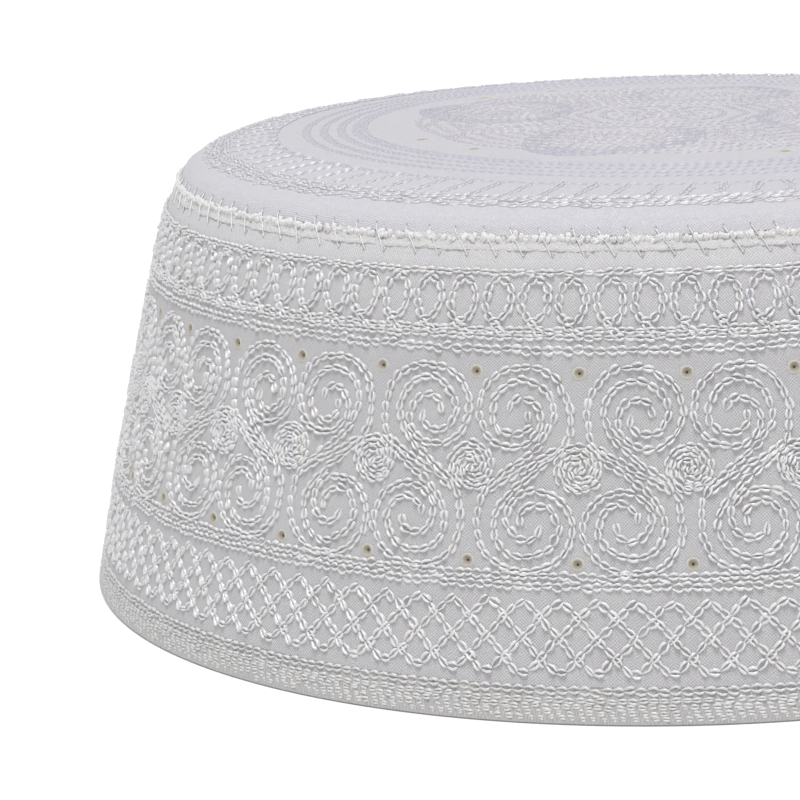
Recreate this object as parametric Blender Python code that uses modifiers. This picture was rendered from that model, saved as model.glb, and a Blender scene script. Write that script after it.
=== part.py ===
"""Round embroidered prayer cap: a tapering side band, a flat crown turned down at its edge,
the overcast seam fold between them, and a thick stitched hem that the cap stands on.

Metres, +Z up. The origin is the middle of the rim, on the surface that the cap rests on."""

import math

import bmesh
import bpy
from mathutils import Matrix, Vector

MM = 0.001

# Driving dimensions
RIM_RADIUS = 91.5 * MM
WALL_THICKNESS = 1.6 * MM
CROWN_THICKNESS = 1.4 * MM
PIECE_GAP = 0.3 * MM

# Hem: close rows of stitching round the folded lower edge
HEM_TOP = 4.9 * MM
HEM_ROWS = 5
HEM_PROUD = 0.4 * MM
HEM_GROOVE = 0.15 * MM
HEM_TURN_IN = 0.6 * MM

# The section of one hem row: share of the row's width from its top, and how far it stands out
HEM_ROW_SHAPE = (
    dict(share=0.0, proud=HEM_GROOVE),
    dict(share=0.3, proud=HEM_PROUD),
    dict(share=0.7, proud=HEM_PROUD),
)

# The side's cloth from the rim up: height above the floor and radius of the outer face
SIDE_SECTIONS = (
    dict(at="rim", height=0.0 * MM, radius=RIM_RADIUS - HEM_PROUD),
    dict(at="low_line", height=17.1 * MM, radius=87.6 * MM),
    dict(at="high_line", height=47.3 * MM, radius=80.4 * MM),
    dict(at="loop_tops", height=57.8 * MM, radius=77.4 * MM),
    dict(at="seam", height=60.6 * MM, radius=76.0 * MM),
)

# Raised lines of stitching round the side: height of the middle, width and how far they stand out
SIDE_RIBS = (
    dict(name="low_line", height=18.3 * MM, width=2.4 * MM, proud=0.4 * MM),
    dict(name="high_line", height=47.7 * MM, width=1.4 * MM, proud=0.35 * MM),
    dict(name="loop_base", height=50.0 * MM, width=1.8 * MM, proud=0.4 * MM),
    dict(name="loop_top", height=57.6 * MM, width=1.2 * MM, proud=0.35 * MM),
)

# The section of one raised line: share of half its width, and share of how far it stands out
RIB_SHAPE = (
    dict(across=-1.0, out=0.0),
    dict(across=-0.4, out=1.0),
    dict(across=0.4, out=1.0),
    dict(across=1.0, out=0.0),
)

# Seam fold: its closed section, from the inner top round the outside to the inner foot
SEAM_SECTION = (
    dict(at="top_inner", radius=73.8 * MM, height=61.7 * MM),
    dict(at="top_outer", radius=75.0 * MM, height=62.5 * MM),
    dict(at="shoulder", radius=76.0 * MM, height=62.1 * MM),
    dict(at="crest", radius=76.6 * MM, height=61.4 * MM),
    dict(at="foot", radius=76.3 * MM, height=60.6 * MM),
    dict(at="bottom_inner", radius=74.4 * MM, height=60.6 * MM),
)

# The crown's outer face from its middle to its turned-down edge
CROWN_SECTIONS = (
    dict(at="middle", radius=0.0 * MM, height=68.4 * MM),
    dict(at="medallion", radius=20.0 * MM, height=68.3 * MM),
    dict(at="inner_ring", radius=45.9 * MM, height=67.4 * MM),
    dict(at="outer_ring", radius=56.0 * MM, height=67.0 * MM),
    dict(at="border", radius=63.0 * MM, height=66.8 * MM),
    dict(at="bend", radius=69.0 * MM, height=66.2 * MM),
    dict(at="shoulder", radius=72.2 * MM, height=65.3 * MM),
    dict(at="turn_down", radius=74.0 * MM, height=64.0 * MM),
    dict(at="edge", radius=74.8 * MM, height=62.9 * MM),
)

# The crown lies a little higher on its left: the slope, full inside the first radius, none past the second
CROWN_LEAN = 0.018
CROWN_LEAN_FULL = 60.0 * MM
CROWN_LEAN_END = 73.0 * MM

# Eyelets: two rows of worked holes round the side, and four pairs on the crown
EYELET_DIAMETER = 1.2 * MM
EYELET_SIDES = 6
CUTTER_LENGTH = 6.0 * MM
EYELETS_AROUND = 36
FIRST_EYELET = math.radians(1.6)
SIDE_EYELET_HEIGHTS = (20.6 * MM, 45.0 * MM)
CROWN_EYELET_RADIUS = 41.0 * MM
CROWN_EYELET_SPREAD = math.radians(9.6)
CROWN_EYELET_PAIRS = tuple(math.radians(angle) for angle in (-51.8, 34.4, 126.0, 216.0))

# Finishes
CLOTH_COLOUR = (0.68, 0.66, 0.70)
CLOTH_ROUGHNESS = 0.85
THREAD_COLOUR = (0.80, 0.79, 0.82)
THREAD_ROUGHNESS = 0.5

# How finely the turned pieces are made
SEGMENTS = 72
TURN_MERGE = 0.01 * MM
SMOOTH_ANGLE = math.radians(50)


def clear_scene():
    """Removes what the scene starts with."""
    for obj in list(bpy.data.objects):
        bpy.data.objects.remove(obj)


def new_collection(name, hidden=False):
    collection = bpy.data.collections.new(name)
    collection.hide_render = hidden
    bpy.context.scene.collection.children.link(collection)
    return collection


def new_material(name, colour, roughness):
    material = bpy.data.materials.new(name)
    material.use_nodes = True
    shader = material.node_tree.nodes["Principled BSDF"]
    shader.inputs["Base Color"].default_value = (*colour, 1.0)
    shader.inputs["Roughness"].default_value = roughness
    shader.inputs["Metallic"].default_value = 0.0
    return material


def between(value, rows, given, wanted):
    """The wanted column at a value of the given column, in straight lines from row to row."""
    ordered = sorted(rows, key=lambda row: row[given])
    for low, high in zip(ordered, ordered[1:]):
        if value <= high[given]:
            share = (value - low[given]) / (high[given] - low[given])
            return low[wanted] + share * (high[wanted] - low[wanted])
    return ordered[-1][wanted]


def side_radius(height):
    return between(height, SIDE_SECTIONS, "height", "radius")


def crown_height(radius):
    return between(radius, CROWN_SECTIONS, "radius", "height")


def turned_mesh(name, profile, closed):
    """A mesh turned round Z from a profile of (radius, height) that runs down its outer side."""
    outline = bpy.data.meshes.new(name + "_profile")
    points = [(radius, 0.0, height) for radius, height in profile]
    edges = [(index, index + 1) for index in range(len(points) - 1)]
    if closed:
        edges.append((len(points) - 1, 0))
    outline.from_pydata(points, edges, [])
    source = bpy.data.objects.new(name + "_profile", outline)
    bpy.context.scene.collection.objects.link(source)
    screw = source.modifiers.new("Turn", "SCREW")
    screw.axis = "Z"
    screw.angle = math.tau
    screw.steps = SEGMENTS
    screw.render_steps = SEGMENTS
    screw.use_merge_vertices = True
    screw.merge_threshold = TURN_MERGE
    screw.use_smooth_shade = True
    graph = bpy.context.evaluated_depsgraph_get()
    mesh = bpy.data.meshes.new_from_object(source.evaluated_get(graph))
    bpy.data.objects.remove(source)
    mesh.name = name
    mesh.shade_smooth()
    mesh.set_sharp_from_angle(angle=SMOOTH_ANGLE)
    return mesh


def new_piece(name, mesh, material, collection):
    piece = bpy.data.objects.new(name, mesh)
    mesh.materials.clear()
    mesh.materials.append(material)
    collection.objects.link(piece)
    return piece


def side_profile():
    """The side band's closed section: ribs down its outer face, plain up its inner face."""
    bottom = HEM_TOP + PIECE_GAP
    top = SEAM_SECTION[-1]["height"] - PIECE_GAP
    outer = [(side_radius(top), top), (side_radius(bottom), bottom)]
    for section in SIDE_SECTIONS[1:-1]:
        clear_of_ribs = all(
            abs(section["height"] - rib["height"]) > rib["width"] / 2 for rib in SIDE_RIBS
        )
        if clear_of_ribs:
            outer.append((section["radius"], section["height"]))
    for rib in SIDE_RIBS:
        for shape in RIB_SHAPE:
            height = rib["height"] + shape["across"] * rib["width"] / 2
            outer.append((side_radius(height) + shape["out"] * rib["proud"], height))
    outer.sort(key=lambda point: -point[1])
    inner_heights = [bottom, SIDE_SECTIONS[2]["height"], top]
    inner = [(side_radius(height) - WALL_THICKNESS, height) for height in inner_heights]
    return outer + inner


def hem_profile():
    """The hem's closed section: stitched rows down the outside, a flat foot, and the turned-in edge."""
    pitch = HEM_TOP / HEM_ROWS
    outer = []
    for row in range(HEM_ROWS):
        row_top = HEM_TOP - row * pitch
        for shape in HEM_ROW_SHAPE:
            height = row_top - shape["share"] * pitch
            outer.append((side_radius(height) + shape["proud"], height))
    outer.append((side_radius(0.0) + HEM_GROOVE, 0.0))
    inner = [
        (side_radius(height) - WALL_THICKNESS - HEM_TURN_IN, height) for height in (0.0, HEM_TOP)
    ]
    return outer + inner


def lean_crown(mesh):
    """Lifts the crown a little to one side, as the soft cloth lies."""
    for vertex in mesh.vertices:
        radius = math.hypot(vertex.co.x, vertex.co.y)
        share = (CROWN_LEAN_END - radius) / (CROWN_LEAN_END - CROWN_LEAN_FULL)
        vertex.co.z -= CROWN_LEAN * vertex.co.x * min(1.0, max(0.0, share))


def face_outward(radius, height, angle, slope):
    """A frame at a place on the cap whose Z axis is the cloth's normal; angle 0 is the front."""
    place = Vector((radius * math.sin(angle), -radius * math.cos(angle), height))
    outward = Vector((math.sin(angle), -math.cos(angle), 0.0))
    normal = outward * math.cos(slope) + Vector((0.0, 0.0, math.sin(slope)))
    return Matrix.Translation(place) @ normal.to_track_quat("Z", "Y").to_matrix().to_4x4()


def side_slope(height):
    """How far the side's normal points up, from the taper a little below and above."""
    reach = 1.0 * MM
    return math.atan2(side_radius(height - reach) - side_radius(height + reach), 2 * reach)


def side_eyelet_frames():
    frames = []
    for height in SIDE_EYELET_HEIGHTS:
        slope = side_slope(height)
        for index in range(EYELETS_AROUND):
            angle = FIRST_EYELET + index * math.tau / EYELETS_AROUND
            frames.append(face_outward(side_radius(height), height, angle, slope))
    return frames


def crown_eyelet_frames():
    frames = []
    for pair in CROWN_EYELET_PAIRS:
        for side in (-1, 1):
            angle = pair + side * CROWN_EYELET_SPREAD
            height = crown_height(CROWN_EYELET_RADIUS)
            frames.append(face_outward(CROWN_EYELET_RADIUS, height, angle, math.pi / 2))
    return frames


def eyelet_cutter(name, frames, collection):
    """One hidden object that holds a short rod for each eyelet."""
    rods = bmesh.new()
    for frame in frames:
        bmesh.ops.create_cone(
            rods,
            cap_ends=True,
            segments=EYELET_SIDES,
            radius1=EYELET_DIAMETER / 2,
            radius2=EYELET_DIAMETER / 2,
            depth=CUTTER_LENGTH,
            matrix=frame,
        )
    mesh = bpy.data.meshes.new(name)
    rods.to_mesh(mesh)
    rods.free()
    cutter = bpy.data.objects.new(name, mesh)
    cutter.hide_render = True
    cutter.display_type = "WIRE"
    collection.objects.link(cutter)
    return cutter


def cut(piece, cutter):
    boolean = piece.modifiers.new("Eyelets", "BOOLEAN")
    boolean.operation = "DIFFERENCE"
    boolean.solver = "EXACT"
    boolean.object = cutter


def build_side_band(cloth, parts, cutters):
    piece = new_piece("side_band", turned_mesh("side_band", side_profile(), closed=True), cloth, parts)
    cut(piece, eyelet_cutter("side_eyelet_rods", side_eyelet_frames(), cutters))


def build_hem(thread, parts):
    new_piece("hem", turned_mesh("hem", hem_profile(), closed=True), thread, parts)


def build_seam_fold(cloth, parts):
    profile = [(row["radius"], row["height"]) for row in SEAM_SECTION]
    new_piece("seam_fold", turned_mesh("seam_fold", profile, closed=True), cloth, parts)


def build_crown(cloth, parts, cutters):
    profile = [(row["radius"], row["height"]) for row in CROWN_SECTIONS]
    mesh = turned_mesh("crown", profile, closed=False)
    lean_crown(mesh)
    piece = new_piece("crown", mesh, cloth, parts)
    wall = piece.modifiers.new("Cloth", "SOLIDIFY")
    wall.thickness = CROWN_THICKNESS
    wall.offset = -1.0
    wall.use_even_offset = True
    cut(piece, eyelet_cutter("crown_eyelet_rods", crown_eyelet_frames(), cutters))


def main():
    clear_scene()
    parts = new_collection("prayer_cap")
    cutters = new_collection("cutters", hidden=True)
    cloth = new_material("cotton_cloth", CLOTH_COLOUR, CLOTH_ROUGHNESS)
    thread = new_material("embroidery_thread", THREAD_COLOUR, THREAD_ROUGHNESS)
    build_side_band(cloth, parts, cutters)
    build_hem(thread, parts)
    build_seam_fold(cloth, parts)
    build_crown(cloth, parts, cutters)


main()
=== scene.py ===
"""Looks of the embroidered prayer cap: its cloth, worked eyelets, seam fold, hem and chain stitching."""

import math

import bpy
import numpy as np
from mathutils import Matrix, Vector


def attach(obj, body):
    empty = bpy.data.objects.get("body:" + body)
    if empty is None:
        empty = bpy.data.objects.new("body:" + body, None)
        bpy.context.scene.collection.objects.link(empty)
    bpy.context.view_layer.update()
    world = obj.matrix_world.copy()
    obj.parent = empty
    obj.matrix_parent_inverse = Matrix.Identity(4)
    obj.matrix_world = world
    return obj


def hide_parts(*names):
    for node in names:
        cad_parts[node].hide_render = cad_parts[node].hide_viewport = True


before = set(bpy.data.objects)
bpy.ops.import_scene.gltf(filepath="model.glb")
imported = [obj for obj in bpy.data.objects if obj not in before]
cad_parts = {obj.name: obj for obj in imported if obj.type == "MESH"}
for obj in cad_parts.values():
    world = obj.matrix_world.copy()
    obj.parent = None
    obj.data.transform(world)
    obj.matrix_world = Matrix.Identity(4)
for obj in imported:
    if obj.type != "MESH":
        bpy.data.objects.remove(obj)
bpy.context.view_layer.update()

# All sizes are in millimetres and angles in degrees; meshes are turned into metres as they are made.
# Angle 0 is the front of the cap, and angles grow to the wearer's left, anticlockwise from above.
MM = 0.001
rng = np.random.default_rng(20)


def table(names, *rows):
    """Rows whose values go by the names of their columns."""
    return tuple(dict(zip(names.split(), row, strict=True)) for row in rows)


# The side's outer face as the CAD model has it: its rim, the low and high lines, the loops' tops, the
# shoulder and the seam
WALL = table(
    "height radius",
    (0.0, 91.1),
    (17.1, 87.6),
    (47.3, 80.4),
    (57.8, 77.4),
    (60.4, 75.95),
    (61.4, 75.3),
)
WALL_THICKNESS = 1.6
BAND_MIDDLE = 84.0
BAND_LOW = 4.9
BAND_HIGH = 61.4

# The crown's outer face from its middle over the medallion, rings and border to its turned-down edge
CROWN = table(
    "radius height",
    (0.0, 68.4),
    (20.0, 68.3),
    (45.9, 67.4),
    (56.0, 67.0),
    (63.0, 66.5),
    (69.0, 65.9),
    (72.2, 65.15),
    (74.0, 64.05),
    (74.95, 62.3),
)
CROWN_THICKNESS = 1.4
# The cloth's grid starts this far from the middle, which leaves no gap that can be seen
CROWN_START = 0.02
# The crown's lean: its fall in each millimetre to the right, full inside one radius and gone at another
CROWN_LEAN = 0.018
CROWN_LEAN_FULL = 60.0
CROWN_LEAN_END = 73.0
# How far to each side a surface's slope is taken
WALL_REACH = 1.5
CROWN_REACH = 1.0

# Eyelets
EYELET_RADIUS = 0.6
EYELETS_AROUND = 36
FIRST_EYELET = 1.6
SIDE_EYELET_HEIGHTS = (20.6, 45.0)
CROWN_EYELET_RADIUS = 41.0
CROWN_EYELET_SPREAD = 9.6
CROWN_EYELET_PAIRS = (-51.8, 34.4, 126.0, 216.0)


# Surfaces

UP = np.array([0.0, 0.0, 1.0])


def column(rows, name):
    return np.array([row[name] for row in rows])


def directions(angle):
    """Straight out from the cap's middle, and along its circle, at angles in radians."""
    level = np.zeros_like(angle)
    outward = np.stack([np.sin(angle), -np.cos(angle), level], axis=-1)
    return outward, np.stack([np.cos(angle), np.sin(angle), level], axis=-1)


def wall_radius(height):
    return np.interp(height, column(WALL, "height"), column(WALL, "radius"))


def crown_height(radius):
    return np.interp(radius, column(CROWN, "radius"), column(CROWN, "height"))


def crown_reach(radius):
    """How far it is along the cloth from the crown's middle."""
    across, down = np.diff(column(CROWN, "radius")), np.diff(column(CROWN, "height"))
    run = np.concatenate([[0.0], np.cumsum(np.hypot(across, down))])
    return np.interp(radius, column(CROWN, "radius"), run)


def on_wall(angle, height, out=0.0):
    """Points and normals on the side's outer face, or that far out from it."""
    outward, _ = directions(np.radians(angle))
    drop = wall_radius(height - WALL_REACH) - wall_radius(height + WALL_REACH)
    slope = np.arctan2(drop, 2 * WALL_REACH)
    normals = outward * np.cos(slope)[..., None] + UP * np.sin(slope)[..., None]
    points = outward * wall_radius(height)[..., None] + UP * np.asarray(height)[..., None]
    return points + normals * np.asarray(out)[..., None], normals


def lean(points):
    """Lifts the crown a little on its left, as the soft cloth lies."""
    radius = np.hypot(points[..., 0], points[..., 1])
    share = (CROWN_LEAN_END - radius) / (CROWN_LEAN_END - CROWN_LEAN_FULL)
    leant = points.copy()
    leant[..., 2] -= CROWN_LEAN * points[..., 0] * np.clip(share, 0.0, 1.0)
    return leant


def on_level_crown(angle, radius, out=0.0):
    """Points and normals on the crown's outer face, or that far out from it, before it leans."""
    outward, _ = directions(np.radians(angle))
    within = np.maximum(radius - CROWN_REACH, 0.0)
    beyond = radius + CROWN_REACH
    slope = np.arctan2(crown_height(within) - crown_height(beyond), beyond - within)
    normals = outward * np.sin(slope)[..., None] + UP * np.cos(slope)[..., None]
    points = outward * np.asarray(radius)[..., None] + UP * crown_height(radius)[..., None]
    return points + normals * np.asarray(out)[..., None], normals


def on_crown(angle, radius, out=0.0):
    points, normals = on_level_crown(angle, radius, out)
    return lean(points), normals


# Meshes


def new_mesh(name, points, triangles, uvs=None, around=None, sharp=None):
    """A mesh from points in millimetres and rows of three corners.

    uvs are in millimetres of cloth; around is how far they run before they start again."""
    mesh = bpy.data.meshes.new(name)
    count = len(triangles)
    mesh.vertices.add(len(points))
    mesh.vertices.foreach_set("co", (np.asarray(points) * MM).astype(np.float32).ravel())
    mesh.loops.add(count * 3)
    mesh.loops.foreach_set("vertex_index", np.asarray(triangles, np.int32).ravel())
    mesh.polygons.add(count)
    mesh.polygons.foreach_set("loop_start", np.arange(0, count * 3, 3, dtype=np.int32))
    mesh.update(calc_edges=True)
    mesh.shade_smooth()
    if uvs is not None:
        layer = mesh.uv_layers.new(name="cloth")
        corners = np.asarray(uvs)[np.asarray(triangles)]
        if around is not None:
            behind = corners[..., 0].max(axis=1, keepdims=True) - corners[..., 0] > around / 2
            corners[..., 0] += around * behind
        layer.data.foreach_set("uv", corners.astype(np.float32).ravel())
    if sharp is not None:
        mesh.set_sharp_from_angle(angle=math.radians(sharp))
    return mesh


def split_quads(a, b, c, d):
    """Two triangles for each four corners."""
    return np.concatenate([np.stack([a, b, c], -1).reshape(-1, 3), np.stack([a, c, d], -1).reshape(-1, 3)])


def tube_triangles(index, around):
    """Triangles of open tubes; around is the axis of the corners' indices that goes round."""
    turned = np.roll(index, -1, axis=around)
    return split_quads(index[:, :-1], turned[:, :-1], turned[:, 1:], index[:, 1:])


def add_painted_shade(mesh, values):
    """Keeps for each point how high it stands in its stitch, which sets the painted shade in its thread's
    colour: darker low down, where shade falls.
    """
    unshaded = mesh.attributes.new("unshaded", "FLOAT", "POINT")
    unshaded.data.foreach_set("value", np.asarray(values, np.float32))


def new_piece(name, mesh, material):
    piece = bpy.data.objects.new(name, mesh)
    bpy.context.scene.collection.objects.link(piece)
    mesh.materials.append(material)
    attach(piece, "root")
    return piece


# Chain stitch: each link is two tapered strands that spread from one hole and close over the next

# Sections of the left strand: share of the link's length, share of its half width, height of its top and
# half thickness in millimetres
STRAND = table(
    "along across height thick",
    (-0.05, 0.05, 0.0, 0.0),
    (0.3, 0.6, 0.22, 0.18),
    (0.72, 1.0, 0.42, 0.22),
    (1.04, 0.72, 0.5, 0.24),
    (1.26, 0.12, 0.05, 0.0),
)
# The strand's arched section: share of its half thickness to the side, and share of its height
ARCH = table(
    "out up",
    (-1.0, 0.0),
    (-0.55, 0.95),
    (0.55, 0.95),
    (1.0, 0.0),
)
ARCH_FOOT = -0.03
STRAND_THICK = 0.18
# How far a strand's sections turn with its spread
STRAND_TURN = 0.4
# How unshaded a strand's foot is painted, and the height at which its painted shade is gone
FOOT_UNSHADED = 0.1
UNSHADED_HEIGHT = 0.45
# How unevenly links lie: the spread of their turn in radians, of their place across and along the line in
# millimetres, and of the shares by which their width, height and thickness differ
UNEVEN = dict(swing=0.09, across=0.045, along=0.09, width=0.15, height=0.2, thick=0.12)


def strand_template():
    """Corners (along, across, height, spread along, spread across) and triangles of one strand."""
    corners = []
    for index, row in enumerate(STRAND):
        if row["thick"] == 0.0:
            corners.append((row["along"], row["across"], row["height"], 0.0, 0.0))
            continue
        before, after = STRAND[index - 1], STRAND[index + 1]
        spread = STRAND_TURN * (after["across"] - before["across"])
        step = np.array([after["along"] - before["along"], spread])
        side = np.array([-step[1], step[0]]) / np.hypot(*step)
        for place in ARCH:
            out = row["thick"] * place["out"]
            height = ARCH_FOOT + (row["height"] - ARCH_FOOT) * place["up"]
            corners.append((row["along"], row["across"], height, out * side[0], out * side[1]))
    triangles = []
    wide = len(ARCH)
    sections = len(STRAND) - 2
    last = len(corners) - 1
    for place in range(wide - 1):
        triangles.append((0, 1 + place, 2 + place))
        for section in range(sections - 1):
            low = 1 + section * wide + place
            triangles.append((low, low + wide, low + 1))
            triangles.append((low + 1, low + wide, low + wide + 1))
        low = 1 + (sections - 1) * wide + place
        triangles.append((low, last, low + 1))
    return np.array(corners), np.array(triangles)


def link_template():
    """Both strands of a link; the right one is the left one mirrored."""
    corners, triangles = strand_template()
    mirrored = corners * np.array([1.0, -1.0, 1.0, 1.0, -1.0])
    turned = triangles[:, ::-1] + len(corners)
    return np.concatenate([corners, mirrored]), np.concatenate([triangles, turned])


LINK_CORNERS, LINK_TRIANGLES = link_template()


class Chains:
    """Links gathered for one piece: where each starts, its reach along the line, normal and width."""

    def __init__(self):
        self.starts, self.reaches, self.normals, self.widths = [], [], [], []

    def add(self, points, normals, pitch, width, closed=False):
        """Lays links of about that pitch along a line of points on the cloth."""
        if closed:
            points = np.concatenate([points, points[:1]])
            normals = np.concatenate([normals, normals[:1]])
        steps = np.linalg.norm(np.diff(points, axis=0), axis=1)
        run = np.concatenate([[0.0], np.cumsum(steps)])
        count = max(1, round(run[-1] / pitch))
        places = np.linspace(0.0, run[-1], count + 1)
        knots = np.stack([np.interp(places, run, points[:, axis]) for axis in range(3)], axis=1)
        facing = np.stack([np.interp(places, run, normals[:, axis]) for axis in range(3)], axis=1)
        self.starts.append(knots[:-1])
        self.reaches.append(np.diff(knots, axis=0))
        self.normals.append((facing[:-1] + facing[1:]) / 2)
        self.widths.append(np.full(count, width))

    def repeat(self, around, first=0.0):
        """Copies every link round the cap."""
        turns = np.radians(first + np.arange(around) * 360.0 / around)
        cos, sin, zero, one = np.cos(turns), np.sin(turns), np.zeros(around), np.ones(around)
        spin = np.stack([cos, -sin, zero, sin, cos, zero, zero, zero, one], axis=1).reshape(-1, 3, 3)
        for name in ("starts", "reaches", "normals"):
            rows = np.concatenate(getattr(self, name))
            setattr(self, name, [np.einsum("kij,nj->kni", spin, rows).reshape(-1, 3)])
        self.widths = [np.tile(np.concatenate(self.widths), around)]
        return self

    def join(self, other):
        for name in ("starts", "reaches", "normals", "widths"):
            getattr(self, name).extend(getattr(other, name))
        return self

    def mesh(self, name, relief=1.0, leant=False, loose=1.0):
        """One mesh of every link; loose is how unevenly they lie."""
        starts, reaches = np.concatenate(self.starts), np.concatenate(self.reaches)
        normals, widths = np.concatenate(self.normals), np.concatenate(self.widths)
        count = len(starts)
        length = np.linalg.norm(reaches, axis=1, keepdims=True)
        along = reaches / length
        side = np.cross(normals, along)
        side /= np.linalg.norm(side, axis=1, keepdims=True)
        normals = np.cross(along, side)

        def uneven(kind, middle=0.0):
            return rng.normal(middle, UNEVEN[kind] * loose, (count, 1))

        swing = uneven("swing")
        cos, sin = np.cos(swing), np.sin(swing)
        along, side = along * cos + side * sin, side * cos - along * sin
        starts = starts + side * uneven("across")
        starts = starts + along * uneven("along")
        half = (widths[:, None] / 2 - STRAND_THICK) * uneven("width", 1.0)
        tall = uneven("height", 1.0)
        fat = uneven("thick", 1.0)
        share_along, share_across, height, out_along, out_across = LINK_CORNERS.T
        along_by = share_along[None] * length + out_along[None] * fat
        across_by = share_across[None] * half + out_across[None] * fat
        up_by = height[None] * tall * relief
        points = (
            starts[:, None]
            + along_by[..., None] * along[:, None]
            + across_by[..., None] * side[:, None]
            + up_by[..., None] * normals[:, None]
        )
        if leant:
            points = lean(points)
        offsets = np.arange(count)[:, None, None] * len(LINK_CORNERS)
        triangles = (LINK_TRIANGLES[None] + offsets).reshape(-1, 3)
        mesh = new_mesh(name, points.reshape(-1, 3), triangles)
        # Painted shade: strands are darker towards their foot at the cloth, where shade falls under and
        # between them
        share = np.clip(FOOT_UNSHADED + height / UNSHADED_HEIGHT, 0.0, 1.0)
        add_painted_shade(mesh, np.tile(share, count))
        return mesh


def smooth_line(points, steps=8):
    """A smooth line through a few points in the plane."""
    points = np.asarray(points, float)
    ends = np.concatenate([[2 * points[0] - points[1]], points, [2 * points[-1] - points[-2]]])
    share = np.linspace(0.0, 1.0, steps, endpoint=False)[:, None]
    pieces = []
    for a, b, c, d in zip(ends, ends[1:], ends[2:], ends[3:]):
        bend = 2 * b + (c - a) * share + (2 * a - 5 * b + 4 * c - d) * share**2
        pieces.append((bend + (3 * b - a - 3 * c + d) * share**3) / 2)
    pieces.append(points[-1:])
    return np.concatenate(pieces)


# The height gained by each millimetre up the sloping side
WALL_SLANT = 0.972
RING_POINTS = 1440


def wall_line(chains, plane, middle_angle, middle_height, pitch, width):
    """Lays links on the side along a line given in millimetres round and up from a middle."""
    angle = middle_angle + np.degrees(plane[:, 0] / wall_radius(middle_height))
    points, normals = on_wall(angle, middle_height + plane[:, 1] * WALL_SLANT)
    chains.add(points, normals, pitch, width)


def ring_line(chains, surface, place, pitch, width, waves=0, deep=0.0):
    """Lays links once round the cap at a height on the side or a radius on the crown."""
    angle = rng.uniform(0.0, 360.0) + np.linspace(0.0, 360.0, RING_POINTS, endpoint=False)
    points, normals = surface(angle, place + deep * np.cos(waves * np.radians(angle)))
    chains.add(points, normals, pitch, width, closed=True)


def ring_rows(rows, surface, place, waves=0):
    """Rows of links round the cap; place is the name of their heights or radii."""
    chains = Chains()
    for row in rows:
        ring_line(chains, surface, row[place], row["pitch"], row["width"], waves, row.get("deep", 0.0))
    return chains


# Side embroidery

# Lines round the side: two above the lattice, one above the eyelets, two under the loops and one over them
SIDE_LINES = table(
    "height width pitch",
    (17.75, 1.3, 1.32),
    (19.05, 1.3, 1.32),
    (48.0, 1.3, 1.4),
    (49.55, 1.05, 1.35),
    (50.45, 1.05, 1.35),
    (57.75, 1.0, 1.3),
)

# Scroll: radii of its double spiral after each eighth of a turn; the inner line is shorter
SPIRAL = table(
    "eighth outer inner",
    (0, 7.05, 4.85),
    (1, 7.0, 4.9),
    (2, 6.2, 4.4),
    (3, 6.1, 4.1),
    (4, 5.85, 3.9),
    (5, 5.2, 3.5),
    (6, 4.45, 2.6),
    (7, 3.7, 1.9),
    (8, 3.0, 1.2),
    (9, 2.4, None),
    (10, 2.05, None),
    (11, 1.85, None),
    (12, 1.6, None),
)
SCROLLS_AROUND = 36
SCROLL_MIDDLE = -3.4
SCROLL_HEIGHT = 32.65
SPIRAL_CENTRE = (0.85, 7.25)
ARM = (
    (3.5, -5.4), (2.8, -4.3), (1.75, -3.1), (0.5, -1.95), (-1.15, -0.75), (-2.85, 0.55), (-4.4, 2.0),
    (-5.5, 3.4), (-6.1, 5.2),
)
ARM_FILL = ((4.6, -2.75), (2.8, -1.6), (0.0, 0.0), (-2.8, 1.6), (-4.6, 2.75))
SCROLL_PITCH = 1.5
SCROLL_WIDTH = 1.12
ROSETTE_HEIGHT = 32.9
ROSETTE_TURNS = (0.3, 3.9)
ROSETTE_POINTS = 90
ROSETTE_SPREAD = 0.95
ROSETTE_RADIUS = 2.95
ROSETTE_PITCH = 1.3

# Loops: one loop's line from its foot, in millimetres from its left side
LOOP = (
    (3.1, -4.5), (2.1, -3.7), (1.1, -2.65), (0.25, -1.3), (-0.12, 0.15), (0.02, 1.75), (0.65, 2.8),
    (1.65, 3.3), (2.6, 3.05), (3.3, 2.0), (3.55, 0.6), (3.3, -0.7), (2.6, -1.8), (1.75, -2.3), (0.9, -2.45),
)
LOOPS_AROUND = 98
FIRST_LOOP = -3.05
LOOP_HEIGHT = 53.8
LOOP_PITCH = 1.42
LOOP_WIDTH = 1.22

# Lattice: four zigzags one step apart, each running from top to foot in two steps
LATTICE_STEPS = 112
LATTICE_FIRST = -0.3
LATTICE_LOW = 6.35
LATTICE_HIGH = 15.8
LATTICE_PITCH = 1.68
LATTICE_WIDTH = 1.14
# How pointed the zigzag's turns are, where 1 is a sharp corner
LATTICE_POINTED = 0.985
LATTICE_POINTS = 65

# Hem rows: height of the middle, width and link length
HEM_ROWS = table(
    "height width pitch",
    (4.4, 1.25, 1.5),
    (3.15, 0.86, 1.4),
    (2.35, 0.84, 1.4),
    (1.55, 0.86, 1.4),
    (0.85, 0.8, 1.4),
)


def spiral_line(centre, which, first_direction):
    """One line of the double spiral, winding clockwise inwards from a direction in degrees."""
    rows = [row for row in SPIRAL if row[which] is not None]
    eighths = np.arange(0.0, rows[-1]["eighth"] + 0.01, 0.25)
    radius = np.interp(eighths, column(rows, "eighth"), column(rows, which))
    direction = np.radians(first_direction - 45.0 * eighths)
    return np.array(centre) + radius[:, None] * np.stack([np.cos(direction), np.sin(direction)], axis=1)


def scroll_line():
    """Up from the middle of the lower spiral, along the arm and into the upper spiral."""
    upper = spiral_line(SPIRAL_CENTRE, "outer", 180.0)
    lower = spiral_line((-SPIRAL_CENTRE[0], -SPIRAL_CENTRE[1]), "inner", 0.0)
    return np.concatenate([lower[::-1], smooth_line(ARM), upper])


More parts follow.
